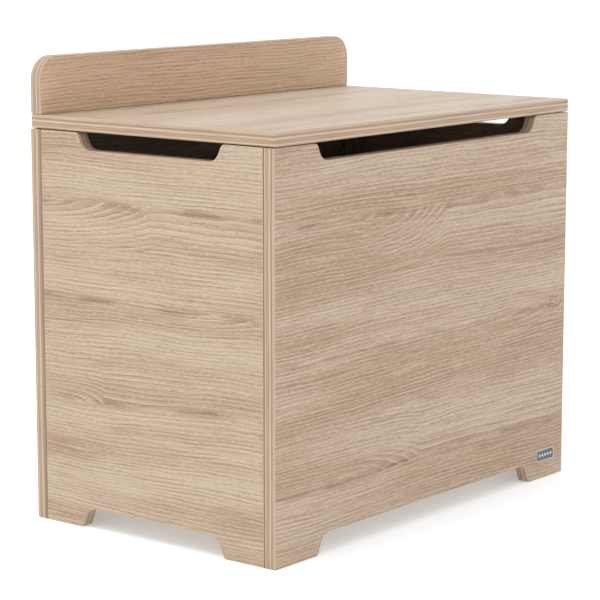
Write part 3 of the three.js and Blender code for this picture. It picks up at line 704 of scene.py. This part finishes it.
def base_film(name):
    """Pale board film with a faint print of fine fibres."""
    wood = wood_settings()
    shade = Shade(name, roughness=0.55, specular_ior_level=0.35)
    x, y, _ = shade.places()
    fibre = shade.noise(x / 40.0, y / 1.4, 4.0, detail=3.0, roughness=0.6)
    cloud = shade.noise(x / 260.0, y / 90.0, 9.0, detail=2.0)
    colour = shade.blend(fibre.ramp(0.0, 0.3) * 0.35, wood.base, wood.warm)
    colour = shade.blend(cloud.ramp(-0.1, 0.3) * 0.3, colour, wood.pale)
    return shade.finish(colour, fibre * 0.15 + 0.55, fibre, depth=0.0001, strength=0.4)


def beech(name):
    """Plain beech of the dowels: short flecks along the grain."""
    wood = wood_settings()
    shade = Shade(name, roughness=0.7)
    fleck = shade.spots((1.2, 1.2, 1.2), 3.0, 0.6)
    colour = shade.blend(fleck.ramp(-0.1, 0.25), wood.warm, wood.deep)
    return shade.finish(colour, fleck * 0.2 + 0.7, fleck, depth=0.0002)


def plated(name, colour, rough, grain, spangle=0.3):
    """Plated metal: cloudy reflection, fine lines drawn over grain millimetres, and small pits."""
    shade = Shade(name, metallic=1.0)
    cloud = shade.spots((7.0, 7.0, 7.0), 3.0)
    lines = shade.spots(grain)
    pits = shade.spots((0.9, 0.9, 0.9), 1.0)
    dull = tuple(channel * 0.72 for channel in colour)
    mixed = shade.blend(cloud.ramp(-0.2, 0.25) * spangle, colour, dull)
    return shade.finish(mixed, cloud * 0.22 + lines * 0.12 + rough, lines * 0.6 + pits * 0.4,
                        depth=0.00006, strength=0.5)


def soft_pad(name, colour):
    """Clear soft rubber with a satin skin."""
    shade = Shade(name, transmission_weight=0.35, ior=1.45)
    skin = shade.spots((0.8, 0.8, 0.8))
    mixed = shade.blend(skin.ramp(-0.2, 0.2) * 0.25, colour, (0.45, 0.45, 0.42))
    return shade.finish(mixed, skin * 0.2 + 0.45, skin, depth=0.00008)


def studio_floor(name, stage):
    """Pale floor sweep that is lit from within, with a faint uneven bloom."""
    shade = Shade(name, roughness=0.9, emission_color=(1, 1, 1, 1),
                  emission_strength=stage.glow, specular_ior_level=0.1)
    x, y, _ = shade.places()
    cloud = shade.noise(x / 900.0, y / 900.0)
    pale = tuple(stage.floor)
    dimmer = tuple(channel * 0.985 for channel in pale)
    return shade.finish(shade.blend(cloud.ramp(-0.2, 0.2), pale, dimmer))


def material(name, make, *rest):
    """The material of that name, made on first use."""
    return bpy.data.materials.get(name) or make(name, *rest)


def zinc():
    return material("plated_zinc", plated, tuple(metal_settings().zinc), 0.38, (1.2, 1.2, 1.2))


def steel():
    colour = tuple(metal_settings().steel)
    return material("polished_steel", plated, colour, 0.26, (14.0, 0.5, 0.5), 0.2)


def board_materials(node, along, across, seed, joint=None, **decor):
    """The three finishes of a board: its faces, its edges and its cut core."""
    return [
        ash_decor("ash_" + node, along, across, seed, **decor),
        edge_band("edge_" + node, seed, joint),
        material("chipboard", chipboard),
    ]


# ---------------------------------------------------------------- boards


def board_settings():
    return bpy.context.scene.toy_box_boards


def notch(edge, start, end, depth, lip, fillet, flank, along):
    """Corners of a recess in a straight edge: two lips and two fillets joined by sloping flanks.

    A lip's corner lies lip * tan(flank / 2) past its tangent point, and a fillet's corner lies
    depth / tan(flank) further on. along is +1 on a lower edge and -1 on an upper one.
    """
    first = start + along * lip * math.tan(flank / 2)
    last = end - along * lip * math.tan(flank / 2)
    run = along * depth / math.tan(flank)
    level = edge + along * depth
    return [(first, edge, lip), (first + run, level, fillet),
            (last - run, level, fillet), (last, edge, lip)]


def wall_corners(low, high, feet, slot):
    """Corners of a wall in its own plane, with an opening between its feet and perhaps a slot."""
    board = board_settings()
    corners = [(low[0], low[1], board.corner)]
    corners += notch(low[1], feet[0], feet[1], board.foot_height, board.foot_toe,
                     board.foot_fillet, board.flank, 1)
    corners += [(high[0], low[1], board.corner), (high[0], high[1], board.corner)]
    if slot:
        corners += notch(high[1], slot[1], slot[0], board.slot_depth, board.slot_lip,
                         board.slot_fillet, board.flank, -1)
    return corners + [(low[0], high[1], board.corner)]


def board_tools(names, side_axis):
    """Tools that cut a board for the nodes let into it: round ones along each node's length.

    A cam is a flat disc, so its tool runs along side_axis.
    """
    board = board_settings()
    tools = Mesh()
    for name in names:
        low, high = node_box(name)
        length = high - low
        along = side_axis if name.startswith("cam_") and "bolt" not in name else int(np.argmax(length))
        start = (low + high) / 2
        start[along] = low[along] - board.fit
        radius = max(np.delete(length, along)) / 2 + board.fit
        drill(tools, start, np.eye(3)[along], radius, length[along] + 2 * board.fit)
    return tools


def screw_holes(tools, names, inward):
    """Adds countersunk tools that leave room round screws driven along inward."""
    fit = board_settings().fit
    for name in names:
        low, high = node_box(name)
        along = int(np.argmax(high - low))
        start = (low + high) / 2
        start[along] = low[along] if inward[along] > 0 else high[along]
        head, length = (high - low)[(along + 1) % 3] / 2, (high - low)[along]
        across = X_AXIS if along else Z_AXIS
        neck = head * SCREW_NECK + fit
        profile = [(0, -fit), (head + fit, -fit), (head + fit, 0), (neck, head * SCREW_CONE),
                   (neck, length + fit), (0, length + fit)]
        spin(tools, profile, inward, across, start, 24, CORE)


def base_groove(tools):
    """Adds a box, a fit gap larger than the base board, that cuts the board's groove."""
    low, high = node_box("base_panel")
    fit = board_settings().fit
    pick = np.array([[0, 0, 0], [1, 0, 0], [1, 1, 0], [0, 1, 0],
                     [0, 0, 1], [1, 0, 1], [1, 1, 1], [0, 1, 1]])
    faces = [[0, 3, 2, 1], [4, 5, 6, 7], [0, 1, 5, 4], [1, 2, 6, 5], [2, 3, 7, 6], [3, 0, 4, 7]]
    tools.add(low - fit + pick * (high - low + 2 * fit), faces, np.zeros((24, 2)), CORE)


def make_board(node, name, body, plane, corners, points, tools, **look):
    """One board: its corners in the plane of two axes, carried across its thickness and cut."""
    low, high = node_box(node)
    first, second = np.eye(3)[list(plane)]
    third, normal = np.cross(first, second), 3 - sum(plane)
    origin = np.zeros(3)
    origin[normal] = high[normal] if third[normal] < 0 else low[normal]
    profile = edge_profile(high[normal] - low[normal], board_settings().arris)
    piece = flat_piece(name, board_materials(node, *plane, **look), body, node, "ash_board",
                       [(*rounded(corners, points), profile)], (first, second, third), origin)
    combine(piece, tools, "DIFFERENCE")


def make_wall(node, along, foot, slotted, fittings, screws=(), inward=None, **look):
    """One wall: its feet and slot are measured from the corners of the whole box."""
    board = board_settings()
    low, high = node_box(node)
    start = node_box("front_panel")[0][along]
    end = node_box("back_panel")[1][along]
    feet = (start + foot, end - foot)
    slot = (start + board.slot_inset, end - board.slot_inset) if slotted else None
    tools = board_tools(fittings, 0)
    screw_holes(tools, screws, inward)
    base_groove(tools)
    corners = wall_corners((low[along], low[2]), (high[along], high[2]), feet, slot)
    make_board(node, node + "_board", "carcass", (along, 2), corners, board.arc_points,
               tools, **look)


class TOYBOX_OT_walls(bpy.types.Operator):
    """Front, back and side walls with their feet and hand slots"""

    bl_idname = "toybox.walls"
    bl_label = "Walls"

    def execute(self, context):
        board = board_settings()
        make_wall("front_panel", 0, board.front_foot, True,
                  nodes_like("cam_bolt_front", "dowel_front"),
                  seed=2.3, warmth=0.18, joint=0, knot=(274, 232, 14),
                  flames=[(-200, 30, 388, -1, 62), (-230, -20, 76, 1, 48), (60, 262, 231, -1, 26)])
        make_wall("back_panel", 0, board.front_foot, False,
                  nodes_like("cam_bolt_back", "dowel_back"),
                  nodes_like("hinge_left_body_screw", "hinge_right_body_screw"), -Y_AXIS,
                  seed=51.7, warmth=0.0, joint=1,
                  flames=[(180, -40, 352, -1, 54), (-150, 60, 120, 1, 44)])
        make_wall("left_side_panel", 1, board.side_foot, True,
                  [name for name in nodes_like("cam_", "dowel_") if "_left" in name],
                  seed=13.9, warmth=-0.10,
                  flames=[(190, -5, 396, -1, 42), (150, 70, 160, 1, 22), (-60, -160, 285, -1, 20)])
        make_wall("right_side_panel", 1, board.side_foot, True,
                  [name for name in nodes_like("cam_", "dowel_") if "_right" in name],
                  nodes_like("stay_wall_screw"), X_AXIS, seed=77.1, warmth=-0.08,
                  flames=[(-150, 40, 330, -1, 50), (120, -20, 110, 1, 36)])
        return {"FINISHED"}


class TOYBOX_OT_base(bpy.types.Operator):
    """Base board in the walls' grooves"""

    bl_idname = "toybox.base"
    bl_label = "Base Board"

    def execute(self, context):
        board = board_settings()
        low, high = node_box("base_panel")
        outline = rounded(oblong(low[:2], high[:2], board.corner), 5)
        profile = edge_profile(high[2] - low[2], board.arris / 2)
        finishes = [material("base_film", base_film), material("chipboard", chipboard)]
        flat_piece("base_board", finishes, "carcass", "base_panel", "base_board",
                   [(*outline, profile)], np.eye(3), (0, 0, low[2]))
        return {"FINISHED"}


class TOYBOX_OT_lid(bpy.types.Operator):
    """Lid board and the round-cornered rail that stands on it"""

    bl_idname = "toybox.lid"
    bl_label = "Lid"

    def execute(self, context):
        board = board_settings()
        low, high = node_box("lid_board")
        tools = board_tools(nodes_like("rail_dowel"), 2)
        screw_holes(tools, nodes_like("rail_screw", "stay_lid_screw"), Z_AXIS)
        screw_holes(tools, nodes_like("hinge_left_lid_screw", "hinge_right_lid_screw"), -Y_AXIS)
        make_board("lid_board", "lid_top_board", "lid", (0, 1),
                   oblong(low[:2], high[:2], board.corner * 1.6), board.arc_points, tools,
                   # the pale, cool multiply on the lid is a painted sheen on its faces
                   seed=31.3, warmth=-0.15, blush=(1.03, 1.09, 1.15),
                   flames=[(-300, 200, 90, -1, 26), (300, -100, -160, 1, 20)])

        low, high = node_box("lid_back_rail")
        corners = oblong(low[[0, 2]], high[[0, 2]], board.corner)
        corners[2:] = [(x, z, board.rail_corner) for x, z, _ in corners[2:]]
        tools = board_tools(nodes_like("rail_dowel"), 2)
        screw_holes(tools, nodes_like("rail_screw"), Z_AXIS)
        make_board("lid_back_rail", "back_rail_board", "lid", (0, 2), corners,
                   board.arc_points * 2, tools, seed=64.9, warmth=-0.35,
                   blush=(1.135, 1.040, 0.962), flames=[(-300, 300, 590, -1, 22)])
        return {"FINISHED"}


# ---------------------------------------------------------------- fittings


def sheet_metal(name, body, node, outlines, axes, origin, finish, slot):
    """A flat piece with one finish all over."""
    return flat_piece(name, [finish], body, node, slot, outlines, axes, origin, rim=0, face=0)


def countersinks(screws, across, up, thickness):
    """Round holes for flat-headed screws, each opening into a cone at the plate's first face."""
    holes = []
    for name in screws:
        low, high = node_box(name)
        x, y = ((low + high) / 2)[[across, up]]
        head = (high - low)[across] / 2 * HEAD_ROOM
        shank = head * HOLE_NECK
        profile = np.array([(head - shank, 0), (0, thickness * 0.75), (0, thickness)])
        holes.append((*ring(x, y, shank), profile))
    return holes


class TOYBOX_OT_hinges(bpy.types.Operator):
    """Butt hinges: leaves with rolled knuckles, and their pins"""

    bl_idname = "toybox.hinges"
    bl_label = "Hinges"

    knuckles = 5

    def execute(self, context):
        for side in ("left", "right"):
            pin = f"hinge_{side}_pin"
            low, high = node_box(pin)
            for leaf, body in (("body", "carcass"), ("lid", "lid")):
                self.make_leaf(f"hinge_{side}_{leaf}", body, low, high)
            radius = (high[2] - low[2]) / 2
            turned_piece(f"hinge_{side}_round_pin", steel(), "carcass", pin, "bright_steel",
                         rod(radius, high[0] - low[0], radius / 4), X_AXIS, Z_AXIS,
                         (low[0], *node_middle(pin)[1:]))
        return {"FINISHED"}

    def make_leaf(self, start, body, pin_low, pin_high):
        """A plate whose teeth, a knuckle apart, end in rolled tubes round the pin."""
        low, high = node_box(start + "_leaf")
        left, right = pin_low[0], pin_high[0]
        _, axis_y, axis_z = (pin_low + pin_high) / 2
        pin = (pin_high[2] - pin_low[2]) / 2
        barrel = high[1] - axis_y
        gap = barrel * 0.11
        thickness, soft = 1.2 * MM, 0.25 * MM
        screws = nodes_like(start + "_screw")
        outer_face = node_box(screws[0])[1][1]
        up = 1 if body == "lid" else -1
        shoulder = axis_z + up * (barrel + gap)
        end = high[2] if up > 0 else low[2]
        corners = oblong((left, min(shoulder, end)), (right, max(shoulder, end)), 1.0 * MM)
        piece = sheet_metal(
            start + "_leaf_rolled", body, start + "_leaf",
            [(*rounded(corners, 7), edge_profile(thickness, soft)),
             *countersinks(screws, 0, 2, thickness)],
            FRONT_PLANE, (0, outer_face, 0), steel(), "bright_steel")

        pitch = (right - left) / self.knuckles
        spans = [(left + i * pitch + (gap / 2 if i else 0),
                  left + (i + 1) * pitch - (gap / 2 if i < self.knuckles - 1 else 0))
                 for i in range(0 if body == "carcass" else 1, self.knuckles, 2)]
        reach = sorted((axis_z, shoulder + up * thickness))
        slack = thickness * 0.01
        for first, last in spans:
            tooth = Mesh()
            outline = rounded(oblong((first, reach[0]), (last, reach[1]), 0.3 * MM), 4)
            plate(tooth, [(*outline, edge_profile(thickness - 2 * slack, 0.05 * MM))],
                  FRONT_PLANE, (0, outer_face - slack, 0), 0, 0)
            combine(piece, tooth, "UNION")
        for first, last in spans:
            roll = Mesh()
            spin(roll, rod(barrel, last - first, 0.2 * MM), X_AXIS, Z_AXIS,
                 (first, axis_y, axis_z), 36)
            combine(piece, roll, "UNION")
        bore, past = Mesh(), 1 * MM
        drill(bore, (left - past, axis_y, axis_z), X_AXIS, pin * 1.04, right - left + 2 * past, 32)
        combine(piece, bore, "DIFFERENCE")


class TOYBOX_OT_stay(bpy.types.Operator):
    """Lid stay: wall plate, two bars, lid bracket and rivets"""

    bl_idname = "toybox.stay"
    bl_label = "Lid Stay"

    soft = 0.25 * MM        # arris of the flat pieces
    bar_width = 14 * MM
    pivot_hole = 2.55 * MM  # radius
    stop_reach = 18 * MM    # from the arm's pivot to the stop, along the open arm
    stop_aside = 10.4 * MM  # from the open arm's middle line to the stop's

    def execute(self, context):
        wall, elbow, lid = (
            node_middle(f"stay_{label}_rivet")[1:] for label in ("wall", "elbow", "lid"))
        self.bar("stay_arm", wall, elbow)
        self.bar("stay_link", elbow, lid)
        self.wall_plate(wall, lid)
        self.bracket(lid)
        for label, body in (("wall", "carcass"), ("elbow", "stay_arm"), ("lid", "stay_link")):
            self.rivet(f"stay_{label}_rivet", body)
        return {"FINISHED"}

    def bar(self, name, start, end):
        """Flat bar with round ends and a pivot hole in each."""
        low, high = node_box(name)
        profile = edge_profile(high[0] - low[0], self.soft)
        outline = rounded(bar_corners(start, end, self.bar_width), 17)
        holes = [(*ring(*pivot, self.pivot_hole), profile) for pivot in (start, end)]
        sheet_metal(name + "_bar", name, name, [(*outline, profile), *holes],
                    SIDE_PLANE, (low[0], 0, 0), zinc(), "zinc_plate")

    def wall_plate(self, pivot, lid_pivot):
        """Upright plate with the arm's pivot hole, and a post behind the open arm that stops it."""
        low, high = node_box("stay_wall_plate")
        screws = nodes_like("stay_wall_screw")
        near_face = node_box(screws[0])[0][0]
        thickness = high[0] - near_face
        profile = edge_profile(thickness, self.soft)
        left = 2 * pivot[0] - high[1]
        outline = rounded(oblong((left, low[2]), high[1:], 6 * MM), 9)
        piece = sheet_metal(
            "stay_wall_mount", "carcass", "stay_wall_plate",
            [(*outline, profile), *countersinks(screws, 1, 2, thickness),
             (*ring(*pivot, self.pivot_hole), profile)],
            SIDE_PLANE, (near_face, 0, 0), zinc(), "zinc_plate")

        closed = lid_pivot - node_middle("hinge_left_pin")[1:]
        closed /= np.linalg.norm(closed)
        opened = np.array([closed[1], -closed[0]])
        behind = np.array([opened[1], -opened[0]])
        place = pivot + opened * self.stop_reach + behind * self.stop_aside
        radius, rim, length = 3 * MM, 0.3 * MM, high[0] - low[0] - 0.2 * MM
        post = Mesh()
        spin(post, [(0, 0), (radius - rim, 0), (radius, rim), (radius, length), (0, length)],
             X_AXIS, Y_AXIS, (low[0], *place), 32)
        combine(piece, post, "UNION")

    def bracket(self, pivot):
        """Angle bracket: a flange screwed to the lid and an ear round the lid's pivot."""
        low, high = node_box("stay_lid_bracket")
        screws = nodes_like("stay_lid_screw")
        thickness = high[2] - node_box(screws[0])[0][2]
        profile = edge_profile(thickness, self.soft)
        piece = sheet_metal(
            "stay_lid_angle", "lid", "stay_lid_bracket",
            [(*rounded(oblong(low[:2], high[:2], 1.5 * MM), 7), profile),
             *countersinks(screws, 0, 1, thickness)],
            np.eye(3), (0, 0, high[2] - thickness), zinc(), "zinc_plate")
        ear, reach = Mesh(), 7 * MM
        corners = oblong(pivot - reach, (pivot[0] + reach, high[2] - thickness / 3), reach * ROUND_END)
        corners[2:] = [(y, z, self.soft * 2) for y, z, _ in corners[2:]]
        plate(ear, [(*rounded(corners, 13), profile), (*ring(*pivot, 2.8 * MM), profile)],
              SIDE_PLANE, (high[0] - thickness - 0.01 * MM, 0, 0), 0, 0)
        combine(piece, ear, "UNION")

    def rivet(self, name, body):
        """Rivet: a shank between two domed heads, or one head where it enters the wall plate."""
        low, high = node_box(name)
        length = high[0] - low[0]
        head, shank, dome, step = 4.2 * MM, 2.5 * MM, 1.0 * MM, 0.02 * MM
        angle = np.linspace(0, math.pi / 2, 6)
        cap = np.stack([head * np.sin(angle), dome * (1 - np.cos(angle))], axis=1)
        profile = [*cap.tolist(), (head, dome), (shank, dome + step)]
        if body == "carcass":
            profile += rod(shank, length, 0.1 * MM)[3:]
        else:
            profile += [(shank, length - dome - step), *(cap[::-1] * [1, -1] + [0, length]).tolist()]
        turned_piece(name + "_domed", steel(), body, name, "bright_steel", profile,
                     X_AXIS, Y_AXIS, (low[0], *node_middle(name)[1:]))


class TOYBOX_OT_fasteners(bpy.types.Operator):
    """Finishes of the screws, cams, bolts and dowels that stay as they are in the frame"""

    bl_idname = "toybox.fasteners"
    bl_label = "Fasteners"

    def execute(self, context):
        for name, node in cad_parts.items():
            if node.hide_render:
                continue
            finish = material("beech_dowel", beech) if "dowel" in name else zinc()
            node.data.materials.clear()
            node.data.materials.append(finish)
        return {"FINISHED"}


class TOYBOX_OT_pads(bpy.types.Operator):
    """Soft round pads under the lid's front corners"""

    bl_idname = "toybox.pads"
    bl_label = "Pads"

    def execute(self, context):
        finish = material("pad_rubber", soft_pad, tuple(metal_settings().pad))
        for side in ("left", "right"):
            name = f"lid_pad_{side}"
            low, high = node_box(name)
            radius, height = (high[0] - low[0]) / 2, high[2] - low[2]
            soft = height * 0.6
            angle = np.linspace(math.pi / 2, 0, 7)
            rim = np.stack([radius - soft * (1 - np.sin(angle)),
                            height - soft * (1 - np.cos(angle))], axis=1)
            profile = [(0, 0), (radius * 0.98, 0), *rim.tolist(), (0, height)]
            turned_piece(name + "_dome", finish, "carcass", name, "soft_pad", profile,
                         Z_AXIS, X_AXIS, (*node_middle(name)[:2], low[2]))
        return {"FINISHED"}


class TOYBOX_OT_badge(bpy.types.Operator):
    """Blank badge on the right foot: a rimmed plate with a row of plain studs"""

    bl_idname = "toybox.badge"
    bl_label = "Badge"

    def execute(self, context):
        metal = metal_settings()
        low, high = node_box("badge_plate")
        depth = high[1] - low[1]
        rim, sink, soft = 0.9 * MM, 0.2 * MM, 0.12 * MM
        profile = np.array([(soft, 0), (0, soft), (0, depth - soft), (soft, depth),
                            (rim - soft, depth), (rim, depth - soft), (rim + soft, depth - sink)])
        outline = rounded(oblong(low[[0, 2]], high[[0, 2]], 2 * MM), 7)
        mesh = Mesh()
        plate(mesh, [(*outline, profile)], FRONT_PLANE, (0, high[1], 0), 1, 0)
        margin, radius, height = 7 * MM, 1.9 * MM, sink * 0.95
        stud = [(0, 0), (radius, 0), (radius, height * 0.6), (radius * 0.8, height), (0, height)]
        for place in np.linspace(low[0] + margin, high[0] - margin, 5):
            spin(mesh, stud, -Y_AXIS, X_AXIS, (place, low[1] + sink, (low[2] + high[2]) / 2), 24, 1)
        grain = (6.0, 0.4, 0.4)
        ground = material("badge_ground", plated, tuple(metal.badge), 0.42, grain, 0.25)
        marks = material("badge_marks", plated, tuple(metal.badge_mark), 0.3, grain, 0.15)
        mesh.build("badge_rimmed_plate", [ground, marks], "carcass", "badge_plate", "badge_metal")
        return {"FINISHED"}


# ---------------------------------------------------------------- stage


class TOYBOX_OT_stage(bpy.types.Operator):
    """Pale floor, white surround, soft lamp and the camera"""

    bl_idname = "toybox.stage"
    bl_label = "Stage"

    def execute(self, context):
        scene = context.scene
        stage = scene.toy_box_stage
        low, high = (np.array(corner) for corner in cad_box)
        middle, reach = (low + high) / 2, np.linalg.norm(high - low)

        spokes = 64
        angle = np.arange(spokes) * FULL_TURN / spokes
        rings = np.array([40.0, 15.0, 6.0, 2.5, 1.0, 0.4]) * reach
        spoke = np.stack([np.cos(angle), np.sin(angle), np.zeros(spokes)], axis=1)
        points = rings[:, None, None] * spoke[None]
        faces = grid_faces(len(rings), spokes).tolist()
        faces.append(((len(rings) - 1) * spokes + np.arange(spokes)).tolist())
        data = bpy.data.meshes.new("floor")
        data.from_pydata(points.reshape(-1, 3).tolist(), [], faces)
        data.materials.append(studio_floor("studio_floor", stage))
        floor = bpy.data.objects.new("floor", data)
        scene.collection.objects.link(floor)

        world = bpy.data.worlds.new("surround")
        world.use_nodes = True
        sky = world.node_tree.nodes["Background"].inputs
        sky["Color"].default_value = (1, 1, 1, 1)
        sky["Strength"].default_value = stage.sky
        scene.world = world

        light = bpy.data.lights.new("key_lamp", "AREA")
        light.shape, light.size, light.energy = "DISK", 2.4, stage.key
        place = Vector((-1.1, 0.5, 3.2))
        lamp = bpy.data.objects.new("key_lamp", light)
        lamp.location = Vector(middle) + place
        lamp.rotation_euler = (-place).to_track_quat("-Z", "Y").to_euler()
        scene.collection.objects.link(lamp)

        data = bpy.data.cameras.new("camera")
        data.lens, data.sensor_width = stage.lens, 36.0
        data.clip_start, data.clip_end = 0.05, rings[0] * 2
        camera = bpy.data.objects.new("camera", data)
        camera.location = stage.camera
        camera.rotation_euler = (math.pi / 2 - stage.pitch, 0, -stage.heading)
        scene.collection.objects.link(camera)
        scene.camera = camera
        scene.view_settings.view_transform = "Standard"
        return {"FINISHED"}


class TOYBOX_PT_panel(bpy.types.Panel):
    """Lists the pieces in the order they are made"""

    bl_idname = "TOYBOX_PT_panel"
    bl_label = "Toy Box"
    bl_space_type = "VIEW_3D"
    bl_region_type = "UI"
    bl_category = "Toy Box"

    def draw(self, context):
        for step in STEPS:
            self.layout.operator(step.bl_idname)
        for group in SETTINGS:
            column = self.layout.column()
            settings = getattr(context.scene, group)
            for name in settings.bl_rna.properties.keys():
                if name not in ("rna_type", "name"):
                    column.prop(settings, name)


STEPS = (
    TOYBOX_OT_stage,
    TOYBOX_OT_walls,
    TOYBOX_OT_base,
    TOYBOX_OT_lid,
    TOYBOX_OT_hinges,
    TOYBOX_OT_stay,
    TOYBOX_OT_pads,
    TOYBOX_OT_badge,
    TOYBOX_OT_fasteners,
)
SETTINGS = {
    "toy_box_boards": BoardSettings,
    "toy_box_wood": WoodSettings,
    "toy_box_metal": MetalSettings,
    "toy_box_stage": StageSettings,
}


def register():
    for group in (*SETTINGS.values(), *STEPS, TOYBOX_PT_panel):
        bpy.utils.register_class(group)
    for name, group in SETTINGS.items():
        setattr(bpy.types.Scene, name, PointerProperty(type=group))


def unregister():
    for name in SETTINGS:
        delattr(bpy.types.Scene, name)
    for group in reversed((*SETTINGS.values(), *STEPS, TOYBOX_PT_panel)):
        bpy.utils.unregister_class(group)


def main():
    register()
    for step in STEPS:
        area, verb = step.bl_idname.split(".")
        getattr(getattr(bpy.ops, area), verb)()
    bpy.context.view_layer.update()


if __name__ == "__main__":
    main()
